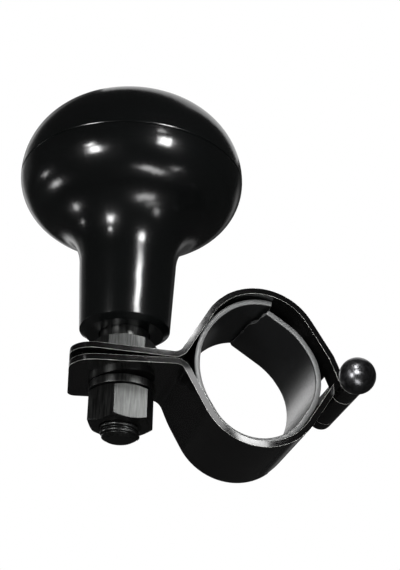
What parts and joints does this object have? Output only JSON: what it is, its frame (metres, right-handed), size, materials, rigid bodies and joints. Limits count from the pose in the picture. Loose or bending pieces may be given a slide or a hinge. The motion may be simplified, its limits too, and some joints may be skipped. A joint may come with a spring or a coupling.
{
  "type": "steering wheel spinner knob",
  "caption": "Mushroom-shaped knob on two ball bearings, carried by a bolt that closes a hinged two-strap clamp with a rubber lining round a steering wheel's rim.",
  "frame": {"origin": "centre of the wheel's rim, which lies in the lined round hollow of the lower strap", "axes": "+X from the knob towards the clamp's hinge, +Y along the rim towards the side away from the hinge pin's ball head, +Z along the knob's axis from the clamp to the head"},
  "size_m": [0.1098, 0.073, 0.1224],
  "materials": {
    "knob_plastic": "glossy moulded black plastic",
    "strap_paint": "gloss black lacquer on bent sheet steel",
    "dark_steel": "dark zinc plated steel with machined flats",
    "pin_steel": "blackened polished steel",
    "bearing_steel": "ground bearing steel",
    "ball_steel": "polished balls",
    "cage_plastic": "natural nylon",
    "shield_steel": "pressed sheet steel",
    "spring_steel": "phosphated spring steel",
    "lining_rubber": "black rubber strip with grey cut edges"
  },
  "bodies": {
    "clamp": {"upper_strap": "strap_paint", "bolt": "dark_steel", "hinge_pin": "pin_steel", "rubber_lining": "lining_rubber", "inner_spacer": "bearing_steel", "shim_washer": "bearing_steel", "bolt_retaining_ring": "spring_steel", "lower_bearing_inner_race": "bearing_steel", "upper_bearing_inner_race": "bearing_steel"},
    "knob": {"knob_body": "knob_plastic", "knob_cap": "knob_plastic", "outer_spacer": "bearing_steel", "knob_retaining_ring": "spring_steel", "lower_bearing_outer_race": "bearing_steel", "upper_bearing_outer_race": "bearing_steel", "lower_bearing_shields": "shield_steel", "upper_bearing_shields": "shield_steel"},
    "lower_ball_set": {"lower_bearing_balls": "ball_steel", "lower_bearing_cage": "cage_plastic"},
    "upper_ball_set": {"upper_bearing_balls": "ball_steel", "upper_bearing_cage": "cage_plastic"},
    "lower_strap": {"lower_strap": "strap_paint"},
    "lock_washer": {"spring_washer": "dark_steel"},
    "nut": {"hex_nut": "dark_steel"}
  },
  "joints": [
    {"name": "knob_spin", "type": "hinge", "parent": "clamp", "child": "knob", "pos_m": [-0.0389, 0, 0.037], "axis": [0, 0, 1], "continuous": true},
    {"name": "lower_balls_orbit", "type": "hinge", "parent": "clamp", "child": "lower_ball_set", "pos_m": [-0.0389, 0, 0.026], "axis": [0, 0, 1], "continuous": true},
    {"name": "upper_balls_orbit", "type": "hinge", "parent": "clamp", "child": "upper_ball_set", "pos_m": [-0.0389, 0, 0.056], "axis": [0, 0, 1], "continuous": true},
    {"name": "nut_travel", "type": "slide", "parent": "clamp", "child": "lock_washer", "axis": [0, 0, 1], "range_m": [-0.003, 0.0005]},
    {"name": "nut_turn", "type": "hinge", "parent": "lock_washer", "child": "nut", "pos_m": [-0.0389, 0, -0.008], "axis": [0, 0, 1], "range_deg": [-624, 109]},
    {"name": "lower_strap_swing", "type": "hinge", "parent": "clamp", "child": "lower_strap", "pos_m": [0.02885, 0, 0.0049], "axis": [0, 1, 0], "range_deg": [-2.2, 0.4]}
  ],
  "couplings": [
    {"joint": "lower_balls_orbit", "follows": "knob_spin", "ratio": 0.5967},
    {"joint": "upper_balls_orbit", "follows": "knob_spin", "ratio": 0.5967},
    {"joint": "nut_turn", "follows": "nut_travel", "rad_per_m": 3590.4},
    {"joint": "lower_strap_swing", "follows": "nut_travel", "rad_per_m": 12.5}
  ]
}
